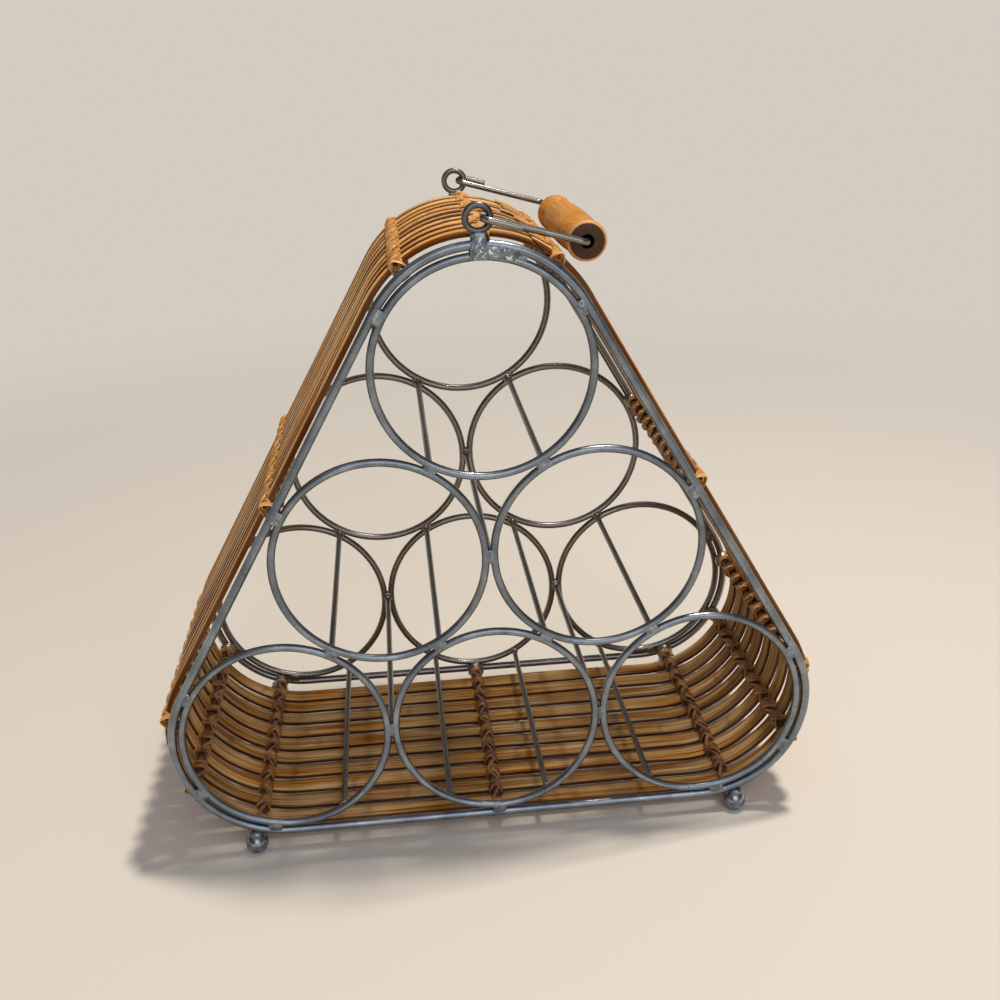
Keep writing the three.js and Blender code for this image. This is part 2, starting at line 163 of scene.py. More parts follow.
# The ring that each floor rod lies under, and the side of it
floor_rods = {
    "left": ("low_left", 1),
    "middle_left": ("low_middle", -1),
    "middle_right": ("low_middle", 1),
    "right": ("low_right", -1),
}
# How far each lashing's inside goes brown, partly stain and partly painted shade; the right-hand ones are
# kept golder as painted light where light reaches their knots
lashing_stain_and_shade = {"mid_right": 0.55, "low_right": 0.5, "corner_right": 0.8, "corner_left": 0.9}
grip_axis = Vector((
    BAIL_PIVOT_X + BAIL_REACH * math.cos(BAIL_DROP), GRIP_Y, EYE_Z - BAIL_REACH * math.sin(BAIL_DROP),
))


# Colours and nodes

def colour(code):
    """The linear colour of an sRGB hex value."""
    channels = [int(code[i:i + 2], 16) / 255 for i in (1, 3, 5)]
    return (*[c / 12.92 if c <= 0.04045 else ((c + 0.055) / 1.055) ** 2.4 for c in channels], 1)


def per_mm(size):
    """The scale of a pattern on Object coordinates whose marks are about size millimetres wide."""
    return 1 / (size * MM)


def add(tree, kind, inputs=None, **settings):
    """One node with its settings and its input values or links."""
    made = tree.nodes.new(kind)
    for key, value in settings.items():
        setattr(made, key, value)
    for key, value in (inputs or {}).items():
        if isinstance(value, bpy.types.NodeSocket):
            tree.links.new(value, made.inputs[key])
        else:
            made.inputs[key].default_value = value
    return made


def object_place(tree):
    return add(tree, "ShaderNodeTexCoord").outputs["Object"]


def carried(tree, name):
    """A number that the points of the mesh carry."""
    return add(tree, "ShaderNodeAttribute", attribute_name=name).outputs["Fac"]


def stretched(tree, place, scale):
    return add(tree, "ShaderNodeMapping", {"Vector": place, "Scale": scale}).outputs["Vector"]


def axis_of(tree, place, axis):
    return add(tree, "ShaderNodeSeparateXYZ", {"Vector": place}).outputs[axis]


def length_of(tree, place):
    return add(tree, "ShaderNodeVectorMath", {0: place}, operation="LENGTH").outputs["Value"]


def figure(tree, operation, *values, **settings):
    """What one operation makes of some numbers."""
    made = add(tree, "ShaderNodeMath", dict(enumerate(values)), operation=operation, **settings)
    return made.outputs["Value"]


def remap(tree, value, start, end, low=0, high=1, smooth=False):
    """Goes from low to high as the value goes from start to end, and holds outside them."""
    inputs = {"Value": value, "From Min": start, "From Max": end, "To Min": low, "To Max": high}
    curve = "SMOOTHSTEP" if smooth else "LINEAR"
    return add(tree, "ShaderNodeMapRange", inputs, interpolation_type=curve).outputs["Result"]


def clouds(tree, place, scale, detail, roughness=0.5):
    """Soft noise about 0.5."""
    inputs = {"Vector": place, "Scale": scale, "Detail": detail, "Roughness": roughness}
    return add(tree, "ShaderNodeTexNoise", inputs).outputs["Fac"]


def ramp(tree, value, stops):
    """The colour at a value among stops, each a position and an sRGB hex value."""
    made = add(tree, "ShaderNodeValToRGB", {"Fac": value})
    elements = made.color_ramp.elements
    elements[0].position = stops[0][0]
    elements[1].position = stops[-1][0]
    for position, _ in stops[1:-1]:
        elements.new(position)
    for element, (_, code) in zip(elements, stops):
        element.color = colour(code)
    return made.outputs["Color"]


def mix(tree, share, one, other):
    """Goes from one colour to the other as the share goes from 0 to 1."""
    return add(tree, "ShaderNodeMix", {0: share, 6: one, 7: other}, data_type="RGBA").outputs[2]


def relief(tree, height, strength, depth):
    inputs = {"Height": height, "Strength": strength, "Distance": depth * MM}
    return add(tree, "ShaderNodeBump", inputs).outputs["Normal"]


def new_material(name):
    material = bpy.data.materials.new(name)
    material.use_nodes = True
    material.node_tree.nodes.clear()
    return material, material.node_tree


def cover(tree, inputs):
    """Gives a material its surface."""
    surface = add(tree, "ShaderNodeBsdfPrincipled", inputs)
    add(tree, "ShaderNodeOutputMaterial", {"Surface": surface.outputs["BSDF"]})


# Materials

def plated_steel_wire(name, dark, middle, light):
    """Zinc-plated steel wire: satin blue-grey, clouded by handling, and browner toward the back as painted
    reflection.
    """
    material, tree = new_material(name)
    place = object_place(tree)
    cloud = clouds(tree, place, per_mm(18), 5, 0.6)
    tint = ramp(tree, cloud, [(0.3, dark), (0.5, middle), (0.7, light)])
    # Painted reflection: the steel is browned toward the back, standing in for the warmer, darker
    # surroundings that the back reflects
    painted_reflection_share = remap(tree, axis_of(tree, place, "Y"), WARM_REFLECTION_FROM * MM, WARM_REFLECTION_TO * MM, 0, 0.75)
    toned = mix(tree, painted_reflection_share, tint, colour("#867D70"))
    pits = clouds(tree, place, per_mm(2.2), 3)
    pitted = remap(tree, pits, 0.64, 0.74, 0, 0.6)
    base = mix(tree, pitted, toned, colour("#55565A"))
    gloss = remap(tree, cloud, 0.3, 0.7, 0.34, 0.24)
    normal = relief(tree, pits, 0.15, 0.2)
    cover(tree, {"Base Color": base, "Metallic": 1, "Roughness": gloss, "Normal": normal})
    return material


def weld_metal(name, flecks):
    """Metal that ran between the wires when they were welded: as grey as the wire, with bright flecks of
    spatter and a straw tint from the heat, laid on more heavily toward the back as painted reflection."""
    material, tree = new_material(name)
    place = object_place(tree)
    heat = clouds(tree, place, per_mm(5), 3)
    tint = ramp(tree, heat, [(0.32, "#565D65"), (0.5, "#78818A"), (0.68, "#969EA6")])
    # Painted reflection: the straw heat tint grows toward the back, standing in for the warmer surroundings
    # that the back reflects
    straw = remap(tree, axis_of(tree, place, "Y"), WARM_REFLECTION_FROM * MM, WARM_REFLECTION_TO * MM, 0.05, 0.6)
    heated = mix(tree, straw, tint, colour("#A08E66"))
    spatter = clouds(tree, place, per_mm(1.7), 3)
    fleck = remap(tree, spatter, 0.56, 0.66, 0, flecks)
    base = mix(tree, fleck, heated, colour("#E6EAEC"))
    normal = relief(tree, spatter, 0.7, 0.6)
    cover(tree, {"Base Color": base, "Metallic": 1, "Roughness": 0.36, "Normal": normal})
    return material


def bright_drawn_wire():
    """Bright drawn steel wire: silvery and even, dulled a little where hands touch it."""
    material, tree = new_material("bright_drawn_wire")
    cloud = clouds(tree, object_place(tree), per_mm(9), 3)
    tint = ramp(tree, cloud, [(0.3, "#7D7870"), (0.7, "#938D83")])
    gloss = remap(tree, cloud, 0.3, 0.7, 0.24, 0.16)
    cover(tree, {"Base Color": tint, "Metallic": 1, "Roughness": gloss})
    return material


def polished_steel_ball():
    """Polished bearing ball, darkened by the weld: near mirror gloss with a smoky blue cast."""
    material, tree = new_material("polished_steel_ball")
    cloud = clouds(tree, object_place(tree), per_mm(4), 4)
    tint = ramp(tree, cloud, [(0.35, "#686D76"), (0.65, "#A2A8B0")])
    gloss = remap(tree, cloud, 0.35, 0.65, 0.3, 0.16)
    cover(tree, {"Base Color": tint, "Metallic": 1, "Roughness": gloss})
    return material


def split_cane():
    """Split rattan: golden glossy bark on the rounded outside, darkened at its edges partly by its own
    colour and partly by painted shade in the gaps between slats, and a flat cut face inside whose fibres
    run lengthwise.
    Growth nodes cross it now and then, and pared ends are pale."""
    material, tree = new_material("split_cane")
    along = carried(tree, "along")
    across = carried(tree, "across")
    bark = carried(tree, "bark")
    tone = carried(tree, "tone")
    on_slat = add(tree, "ShaderNodeCombineXYZ", {"X": along, "Y": across, "Z": tone}).outputs["Vector"]
    fibre = clouds(tree, stretched(tree, on_slat, (1 / 60, 1 / 0.95, 60)), 1, 4)
    stain = clouds(tree, stretched(tree, on_slat, (1 / 42, 1 / 8, 25)), 1, 3)
    outside = ramp(
        tree, fibre, [(0.28, "#AC6A22"), (0.42, "#DB9A48"), (0.58, "#EEB464"), (0.76, "#F8CF93")],
    )
    # Painted shade in the gaps between slats, partly the bark's own darker edge: the edges go dark brown, a
    # little less on the side with no slat beside it
    at_edge = remap(tree, figure(tree, "ABSOLUTE", across), 2.2, 4.5, smooth=True)
    edge_and_gap_shade = figure(tree, "MULTIPLY", at_edge, carried(tree, "gap_shade_share"))
    rounded = mix(tree, edge_and_gap_shade, outside, colour("#552A07"))
    inside = ramp(
        tree, fibre, [(0.3, "#784C20"), (0.43, "#B98340"), (0.57, "#D29F5A"), (0.72, "#EECA92")],
    )
    face = mix(tree, bark, inside, rounded)
    # Splits run a hand's width along the slat and are a millimetre or two apart
    splits = clouds(tree, stretched(tree, on_slat, (1 / 150, 1 / 1.5, 40)), 1, 1)
    split_line = remap(tree, splits, 0.57, 0.66, 0, 0.6)
    lined = mix(tree, split_line, face, colour("#5C3410"))
    level = remap(tree, stain, 0.3, 0.7, 0.76, 1.14)
    ageing = {
        "Color": lined,
        "Value": figure(tree, "MULTIPLY", level, tone),
        "Hue": remap(tree, stain, 0.3, 0.7, 0.488, 0.512),
        "Saturation": remap(tree, stain, 0.3, 0.7, 1.12, 0.82),
    }
    toned = add(tree, "ShaderNodeHueSaturation", ageing).outputs["Color"]
    # Growth nodes stand at a place of their own on each slat, and aren't quite straight
    paces = figure(tree, "MULTIPLY", along, 1 / GROWTH_SPACING)
    shifted = figure(tree, "MULTIPLY_ADD", tone, 23.7, paces)
    bent = figure(tree, "MULTIPLY_ADD", stain, 0.05, shifted)
    pace = figure(tree, "FLOORED_MODULO", bent, 1)
    away = figure(tree, "ABSOLUTE", figure(tree, "SUBTRACT", pace, 0.5))
    band = remap(tree, away, 0.022, 0.004, 0, 0.3, smooth=True)
    noded = mix(tree, band, toned, colour("#5A3818"))
    cover(tree, {
        "Base Color": mix(tree, carried(tree, "pared"), noded, colour("#D9BD92")),
        "Roughness": remap(tree, bark, 0, 1, 0.66, 0.46),
        "Specular IOR Level": 0.12,
        "Normal": relief(tree, fibre, 0.4, 0.5),
    })
    return material


def cane_binder():
    """Flat binding cane, peeled from the bark: straw gold where light and hands reach it, and red-brown
    with gold left on it where it turns round the bars inside the rack, partly stain and partly painted
    shade."""
    material, tree = new_material("cane_binder")
    along = carried(tree, "along")
    across = carried(tree, "across")
    inward = carried(tree, "inward")
    on_strand = add(tree, "ShaderNodeCombineXYZ", {"X": along, "Y": across}).outputs["Vector"]
    fibre = clouds(tree, stretched(tree, on_strand, (1 / 11, 1 / 0.45, 1)), 1, 3)
    gold = ramp(tree, fibre, [(0.3, "#A26626"), (0.5, "#CB9146"), (0.7, "#E2B371")])
    brown = ramp(tree, fibre, [(0.3, "#452718"), (0.5, "#7C5139"), (0.7, "#B5885E")])
    patch = clouds(tree, object_place(tree), per_mm(9), 2)
    browned = remap(tree, patch, 0.35, 0.65, 0.5, 1.1)
    # Inside the rack the binder is mixed toward brown: partly stain, partly painted shade
    share = figure(tree, "MULTIPLY", inward, browned, use_clamp=True)
    stained_and_shaded = mix(tree, share, gold, brown)
    # Inward numbers above 1 mark the winding that lies deepest, between the knots, which is painted nearly
    # black as shade
    deep = remap(tree, inward, 1, 2, 1, 0.4)
    base = add(tree, "ShaderNodeHueSaturation", {"Color": stained_and_shaded, "Value": deep}).outputs["Color"]
    cover(tree, {"Base Color": base, "Roughness": 0.42, "Normal": relief(tree, fibre, 0.4, 0.3)})
    return material


def turned_hardwood():
    """Turned and oiled hardwood: honey orange with fine lengthwise grain, and end grain darkened partly by
    painted shade.
    """
    material, tree = new_material("turned_hardwood")
    middle = (-grip_axis.x * MM, -GRIP_Y * MM, -grip_axis.z * MM)
    moved = {"Vector": object_place(tree), "Location": middle}
    centred = add(tree, "ShaderNodeMapping", moved).outputs["Vector"]
    grain = clouds(tree, stretched(tree, centred, (per_mm(1.1), per_mm(30), per_mm(1.1))), 1, 4)
    side = ramp(tree, grain, [(0.3, "#B37020"), (0.5, "#C48430"), (0.7, "#D49949")])
    # The end grain's own darkness, deepened by painted shade
    end = ramp(tree, grain, [(0.3, "#351C08"), (0.7, "#553214")])
    away = figure(tree, "ABSOLUTE", axis_of(tree, centred, "Y"))
    # A pale rim at each end: partly wear, partly a painted highlight where light catches the chamfer
    rim = remap(tree, away, (GRIP_HALF - 2) * MM, (GRIP_HALF - 0.7) * MM, 0, 0.35)
    worn_and_highlit = mix(tree, rim, side, colour("#E6C694"))
    on_end = remap(tree, away, (GRIP_HALF - 0.3) * MM, (GRIP_HALF - 0.1) * MM)
    ended = mix(tree, on_end, worn_and_highlit, end)
    # Painted shade: the bore is made nearly black
    radius = length_of(tree, stretched(tree, centred, (1, 0, 1)))
    in_bore = remap(tree, radius, (GRIP_BORE_R + 1.3) * MM, (GRIP_BORE_R + 1) * MM)
    cover(tree, {
        "Base Color": mix(tree, in_bore, ended, colour("#150C07")),
        "Roughness": 0.45,
        "Specular IOR Level": 0.3,
        "Normal": relief(tree, grain, 0.15, 0.2),
    })
    return material


# Modelling

def new_mesh(*labels):
    """An empty mesh whose points carry these numbers for the materials."""
    bm = bmesh.new()
    for label in labels:
        bm.verts.layers.float.new(label)
    return bm


def circle(radius, sides):
    turns = [2 * math.pi * i / sides for i in range(sides)]
    return [(radius * math.cos(t), radius * math.sin(t)) for t in turns]


def station(place, across, out, wide=1, thick=1):
    """Where a section stands: its place, the directions of its width and thickness, and their sizes."""
    ahead = across.cross(out)
    return Matrix((
        (across.x * wide, out.x * thick, ahead.x, place.x),
        (across.y * wide, out.y * thick, ahead.y, place.y),
        (across.z * wide, out.z * thick, ahead.z, place.z),
        (0, 0, 0, 1),
    ))


def draw(bm, section, stations, section_labels=None, station_labels=None, closed=False):
    """Draws a section through the stations, one after the other, as wire is drawn through dies."""
    run = new_mesh(*bm.verts.layers.float.keys())
    verts = [run.verts.new(stations[0] @ Vector((u, v, 0))) for u, v in section]
    edges = [run.edges.new(pair) for pair in zip(verts, verts[1:] + verts[:1])]
    for label, values in (section_labels or {}).items():
        layer = run.verts.layers.float[label]
        for vert, value in zip(verts, values):
            vert[layer] = value
    marks = [(run.verts.layers.float[label], values) for label, values in (station_labels or {}).items()]
    start = edges
    for i, here in enumerate(stations):
        if i > 0:
            grown = bmesh.ops.extrude_edge_only(run, edges=edges)["geom"]
            verts = [part for part in grown if isinstance(part, bmesh.types.BMVert)]
            edges = [part for part in grown if isinstance(part, bmesh.types.BMEdge) and part.is_boundary]
            bmesh.ops.transform(run, matrix=here @ stations[i - 1].inverted(), verts=verts)
        for layer, values in marks:
            for vert in verts:
                vert[layer] = values[i]
    if closed:
        bmesh.ops.bridge_loops(run, edges=start + edges)
    else:
        bmesh.ops.edgeloop_fill(run, edges=start)
        bmesh.ops.edgeloop_fill(run, edges=edges)
    gathered = bpy.data.meshes.new("gathered")
    run.to_mesh(gathered)
    run.free()
    bm.from_mesh(gathered)
    bpy.data.meshes.remove(gathered)


def turn_on_lathe(bm, outline, steps):
    """Turns an outline once round the Y axis."""
    bmesh.ops.spin(
        bm, geom=outline, cent=(0, 0, 0), axis=BACK, angle=2 * math.pi, steps=steps, use_merge=True,
    )


def bend_ring(bm, centre, radius, wire, steps):
    """A ring of round wire that faces the front."""
    section = bmesh.ops.create_circle(bm, segments=14, radius=wire / 2)["verts"]
    bmesh.ops.translate(bm, vec=RIGHT * radius, verts=section)
    turn_on_lathe(bm, bm.edges[:], steps)
    bmesh.ops.translate(bm, vec=centre, verts=bm.verts)


def finish(bm, name, material, body, node=None, sharp=50):
    """Closes the mesh, makes it metres and lets it ride on its body in the node's stead."""
    bmesh.ops.remove_doubles(bm, verts=bm.verts, dist=1e-4)
    bmesh.ops.recalc_face_normals(bm, faces=bm.faces)
    bmesh.ops.scale(bm, vec=(MM, MM, MM), verts=bm.verts)
    for face in bm.faces:
        face.smooth = True
    for edge in bm.edges:
        edge.smooth = edge.calc_face_angle(0) < math.radians(sharp)
    mesh = bpy.data.meshes.new(name)
    bm.to_mesh(mesh)
    bm.free()
    mesh.materials.append(material)
    piece = bpy.data.objects.new(name, mesh)
    bpy.context.scene.collection.objects.link(piece)
    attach(piece, body)
    if node:
        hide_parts(node)


def outward(angle):
    return Vector((math.cos(math.radians(angle)), 0, math.sin(math.radians(angle))))


def bend_at(angle):
    return int((angle - FIRST_BEND) // BEND_TURN)


def on_bend(angle):
    """The place on the hoops' bends, in the middle plane, that faces this way."""
    return corners[bend_at(angle) % 3] + CORNER_R * outward(angle)


def side_middle(angle):
    """The middle of the straight side that faces this way."""
    ends = [corner + CORNER_R * outward(angle) for corner in corners]
    ends.sort(key=lambda point: point.dot(outward(angle)))
    return (ends[1] + ends[2]) / 2


def round_the_rack(start, end, arc_step, side_step):
    """Places on the hoops' outline, in the middle plane, each with the angle that it faces."""
    places = []
    angle = start
    while True:
        bend = bend_at(angle)
        stop = min(end, FIRST_BEND + BEND_TURN * (bend + 1))
        here = corners[bend % 3]
        steps = max(1, round((stop - angle) / arc_step))
        for i in range(steps + 1):
            turned = angle + (stop - angle) * i / steps
            places.append((here + CORNER_R * outward(turned), turned))
        if stop == end:
            return places
        there = corners[(bend + 1) % 3]
        steps = round((there - here).length / side_step)
        for i in range(1, steps):
            places.append((here.lerp(there, i / steps) + CORNER_R * outward(stop), stop))
        angle = stop


def lengths(stations):
    """How far each station is along the run, in millimetres."""
    run = [0]
    for here, there in zip(stations, stations[1:]):
        run.append(run[-1] + (there.translation - here.translation).length)
    return run


# Wire frames

def add_hoop(end, y):
    bm = new_mesh()
    places = round_the_rack(FIRST_BEND, FIRST_BEND + 360, arc_step=4, side_step=40)
    run = [station(place + BACK * y, BACK, outward(angle)) for place, angle in places]
    draw(bm, circle(HOOP_WIRE / 2, 16), run, closed=True)
    finish(bm, f"{end}_hoop_wire", steel, "rack", f"{end}_hoop")


def add_ring(end, y, site, centre):
    bm = new_mesh()
    bend_ring(bm, centre + BACK * y, RING_R, RING_WIRE, steps=96)
    finish(bm, f"{end}_ring_{site}_wire", steel, "rack", f"{end}_ring_{site}")


def add_rod(name, x, z, diameter, half, node=None):
    bm = new_mesh()
    run = [station(Vector((x, y, z)), RIGHT, UP) for y in (-half, 0, half)]
    draw(bm, circle(diameter / 2, 14), run)
    finish(bm, name, steel, "rack", node)


def weld(bm, place, facing, size, square=1):
    """A lumpy bead: size is how far it spreads along the joint, across it and front to back. A square of
    less than 1 flattens its sides, as where metal has run between two wires."""
    long, wide, deep = size
    bead = bmesh.ops.create_icosphere(bm, subdivisions=3, radius=1)["verts"]
    seed = Vector((chance.random(), chance.random(), chance.random())) * 50
    for vert in bead:
        swell = 0.16 * noise.noise(vert.co * 1.6 + seed)
        bump = 0.1 * noise.noise(vert.co * 4 + seed)
        lump = 1 + square * (swell + bump)
        vert.co = [math.copysign(abs(c) ** square, c) * lump for c in vert.co]
    turn = station(place, facing, BACK, wide / 2, deep / 2)
    turn.col[2] = (*(facing.cross(BACK) * (long / 2)), 0)
    bmesh.ops.transform(bm, matrix=turn, verts=bead)


def add_frame_welds(end, y):
    bm = new_mesh()
    plane = BACK * y
    inside = BACK * -math.copysign(1, y)
    for one, other in touching_rings:
        apart = (ring_sites[other] - ring_sites[one]).normalized()
        middle = (ring_sites[one] + ring_sites[other]) / 2 + plane
        weld(bm, middle, apart, RING_WELD, RUN_IN)
        weld(bm, middle + inside * 2.6, apart, RING_ROD_WELD)
    for site, angles in hoop_welds.items():
        for angle in angles:
            facing = outward(angle)
            weld(bm, ring_sites[site] + facing * (RING_R + 2.3) + plane, facing, HOOP_WELD, RUN_IN)
    for x, z in floor_rod_places:
        weld(bm, Vector((x, 0, z)) + plane + inside * 2.2, RIGHT, FLOOR_ROD_WELD)
    for angle, place in bar_sites.values():
        if y < 0:
            weld(bm, place + plane + inside * 3, outward(angle), FRONT_BAR_WELD)
        else:
            swell = chance.uniform(0.85, 1.1)
            long, wide, deep = BACK_BAR_WELD
            weld(bm, place + plane + inside * 3.4, outward(angle), (long * swell, wide * swell, deep))
    for x in (-FOOT_X, FOOT_X):
        weld(bm, Vector((x, 0, FOOT_Z + 5.4)) + plane, UP, FOOT_WELD)
    finish(bm, f"{end}_frame_welds", weld_bead, "rack")


def add_foot(end, y, side, x):
    """A ball with a small flat under it."""
    bm = new_mesh()
    bmesh.ops.create_uvsphere(bm, u_segments=32, v_segments=20, radius=FOOT_R)
    bmesh.ops.translate(bm, vec=(x, y, FOOT_Z), verts=bm.verts)
    whole = bm.verts[:] + bm.edges[:] + bm.faces[:]
    bmesh.ops.bisect_plane(bm, geom=whole, plane_co=(0, 0, 0), plane_no=-UP, clear_outer=True)
    bmesh.ops.holes_fill(bm, edges=bm.edges[:])
    finish(bm, f"{end}_foot_{side}_ball", ball, "rack", f"{end}_foot_{side}")


def add_eye(end, y):
    bm = new_mesh()
    bend_ring(bm, Vector((0, y, EYE_Z)), EYE_R, EYE_WIRE, steps=48)
    finish(bm, f"{end}_eye_ring", scorched, "rack", f"{end}_eye")


def add_eye_weld(end, y):
    """The flat patch that holds the eye, down over the hoop to the top ring, and the run of weld along
    their joint."""
    bm = new_mesh()
    top = corners[0] + CORNER_R * UP + BACK * y
    plate = [(-1, -0.7), (-0.85, -1), (0.85, -1), (1, -0.7), (1, 0.7), (0.85, 1), (-0.85, 1), (-1, 0.7)]
    # Rise from the hoop's middle, half width and half depth
    stem = [(-6.6, 4.4, 2), (-5.4, 4.8, 2.5), (-2, 4.3, 2.65), (1, 3.9, 2.6), (3, 3.5, 2), (5.5, 3.4, 1.7)]
    draw(bm, plate, [station(top + UP * rise, RIGHT, BACK, wide, deep) for rise, wide, deep in stem])
    joint_r = CORNER_R - 2.7
    steps = 15
    full_steps = 12  # before it thins out
    run = []
    for i in range(steps):
        facing = outward(90 - 1.7 * i)
        wide = (3.3 if i < full_steps else 2.2) + 0.5 * noise.noise((i / 2, y, 3))
        deep = (2.2 if i < full_steps else 1.5) + 0.35 * noise.noise((i / 1.5, y, 8))
        run.append(station(corners[0] + facing * joint_r + BACK * y, facing, BACK, wide, deep))
    draw(bm, plate, run)
    finish(bm, f"{end}_eye_weld", weld_patch, "rack")


# Cane band

def slat_section():
    """The section of split cane, in shares of its thickness: flat inside with eased edges, square at the
    sides and round outside, with a groove in the bark."""
    half = SLAT_WIDTH / 2
    eased = 0.9 * half
    hollow = 0.5 * half
    section = [(-half, 0.18), (-eased, 0), (-hollow, 0.02), (hollow, 0.02), (eased, 0), (half, 0.18)]
    groove = chance.choice((4, 5, 6, 10, 11, 12))
    for i in range(17):
        u = 1 - i / 8
        dent = 0.14 if i == groove else 0
        section.append((u * half, 0.63 + 0.37 * (1 - u * u) ** 0.6 - dent))
    return section


def add_slat(number, y):
    """One strip of split cane bent once round the bars, its pared ends lapped right of the top."""
    bm = new_mesh("along", "across", "bark", "tone", "pared", "gap_shade_share")
    section = slat_section()
    start = LAP_FROM + chance.uniform(0, 2)
    span = chance.uniform(6, 13)
    seed = 40 * chance.random()
    pared = SLAT_THICK - LAP_TIP
    run = []
    bared = []
    for place, angle in round_the_rack(start, start + span + 360, arc_step=4, side_step=10):
        begun = min((angle - start) / span, 1)
        ending = max((angle - start - 360) / span, 0)
        thick = LAP_TIP + pared * begun - pared * ending
        lift = LAP_TIP + pared * ending + LAP_GAP if angle > start + 360 else 0
        climb = (angle - start - 360 + LAP_CLIMB) / LAP_CLIMB
        if 0 < climb < 1:
            lift = (LAP_TIP + LAP_GAP) * climb
        stride = 0.5 * len(run)
        wander = 1.2 * noise.noise((stride / 6, seed, 0)) + 0.3 * noise.noise((stride / 2, 0, seed))
        lean = math.radians(9 * noise.noise((stride / 6, seed, 9)))
        out = outward(angle)
        across = BACK * math.cos(lean) + out * math.sin(lean)
        raised = out * math.cos(lean) - BACK * math.sin(lean)
        middle = place + out * (SLAT_INNER + lift) + BACK * (y + wander)
        wide = (1 + 0.06 * noise.noise((seed, stride / 5, 0))) * (1 - 0.4 * ending ** 3)
        run.append(station(middle, across, raised, wide, thick))
        bared.append(0.35 * ending ** 6)
    free = {1: -1, SLAT_COUNT: 1}.get(number, 0)  # the side that has no slat beside it
    section_labels = {
        "across": [u for u, _ in section],
        "bark": [1 if v > 0.05 else 0 for _, v in section],
        # Painted shade at the edges is a little weaker on the side with no slat beside it
        "gap_shade_share": [0.92 if u * free > 0 else 1 for u, _ in section],
    }
    tone = chance.uniform(0.8, 1.12)
    station_labels = {"along": lengths(run), "tone": [tone] * len(run), "pared": bared}
    draw(bm, section, run, section_labels, station_labels)
    name = f"cane_slat_{number:02d}"
    finish(bm, f"{name}_strip", cane, "rack", name, sharp=65)


def smooth_run(points, steps):
    """Places between control points on a smooth curve, each a row of numbers."""
    rows = []
    last = len(points) - 1
    for i in range(last):
        near = (points[max(i - 1, 0)], points[i], points[i + 1], points[min(i + 2, last)])
        for j in range(steps):
            t = j / steps
            rows.append([
                0.5 * (2 * b + (c - a) * t + (2 * a - 5 * b + 4 * c - d) * t * t
                       + (3 * b - a - 3 * c + d) * t ** 3)
                for a, b, c, d in zip(*near)
            ])
    rows.append(list(points[last]))
    return rows


def strip(bm, rows, site, stain):
    """Binding cane along rows of place, outward direction, width and thickness, in a bar's frame. The
    stain is how far it darkens inside the rack, partly as stain and partly as painted shade."""
    section = [
        (-1, 0), (-0.8, 0.75), (-0.4, 1), (0, 0.5), (0.4, 1), (0.8, 0.75), (1, 0),
        (0.6, -0.8), (-0.6, -0.8),
    ]
    run = []
    inward = []
    places = [Vector(row[:3]) for row in rows]
    for i, row in enumerate(rows):
        ahead = (places[min(i + 1, len(rows) - 1)] - places[max(i - 1, 0)]).normalized()
        out = Vector(row[3:6])
        out = (out - ahead * out.dot(ahead)).normalized()
        run.append(site @ station(places[i], out.cross(ahead), out, row[6] / 2, row[7] / 2))
        inward.append(stain * min(max((DARKENS_BELOW - row[2]) / 2, 0), 1))
    section_labels = {"across": [1.5 * u + 0.5 * v for u, v in section]}
    draw(bm, section, run, section_labels, {"along": lengths(run), "inward": inward})


def lashing_strand(hand):
    """A strand that crosses each slat from one side of the bar to the other, goes down through the gap,
    makes a turn and a half round the bar and comes up again. At both ends it only dips to the bar. The two
    strands cross, so their hands are 1 and -1."""
    points = []
    up = (0, 0, 1)
    round_bar = 3.2
    # Inside, the turns of one strand lie ahead of those of the other and lift them off the bar
    under = -3.2 if hand > 0 else -4.3
    lead = 1 if hand > 0 else -1

    def pass_by(x, y, z, out, wide=STRAND_WIDE, thick=STRAND_THICK):
        shake = [chance.uniform(-0.2, 0.2) for _ in range(3)]
        points.append([x + shake[0], y + shake[1], z + shake[2], *out, wide, thick])

    def turn_inside(first, middle, last):
        pass_by(hand * round_bar, first, 0, (hand, 0, 0), thick=1.3)
        pass_by(0, middle, under, (0, 0, -1), 2.6, 1.6)
        pass_by(-hand * round_bar, last, 0, (-hand, 0, 0), thick=1.3)

    for i in range(SLAT_COUNT + 1):
        gap = (i - SLAT_COUNT / 2) * SLAT_PITCH
        middle = gap + SLAT_PITCH / 2
        turns = 0 < i < SLAT_COUNT
        if i > 0:
            pass_by(hand * STRAND_SIDE, gap - 0.8, 3.5, (0, 1, 0))
        if turns:
            turn_inside(gap - 2.6 + lead, gap - 1.6 + lead, gap - 0.7 + lead)
        pass_by(0, gap, 2.5, up)
        if turns:
            turn_inside(gap + 0.7 + lead, gap + 1.6 + lead, gap + 2.6 + lead)
        if i < SLAT_COUNT:
            over = 1 if (hand > 0) == (i % 2 == 0) else 0
            pass_by(-hand * STRAND_SIDE, gap + 0.8, 3.5, (0, -1, 0))
            pass_by(-hand * STRAND_SIDE, middle - 4.8, 4.9, (0, -0.6, 0.8))
            pass_by(0, middle - 3.2, 5.6 + over, up)
            pass_by(hand * STRAND_SIDE, middle - 1.6, 5.8, up)
            pass_by(0, middle, 6.9 - over, up)
            pass_by(-hand * STRAND_SIDE, middle + 1.6, 5.8, up)
            pass_by(0, middle + 3.2, 5.6 + over, up)
            pass_by(hand * STRAND_SIDE, middle + 4.8, 4.9, (0, 0.6, 0.8))
    return smooth_run(points, 2)


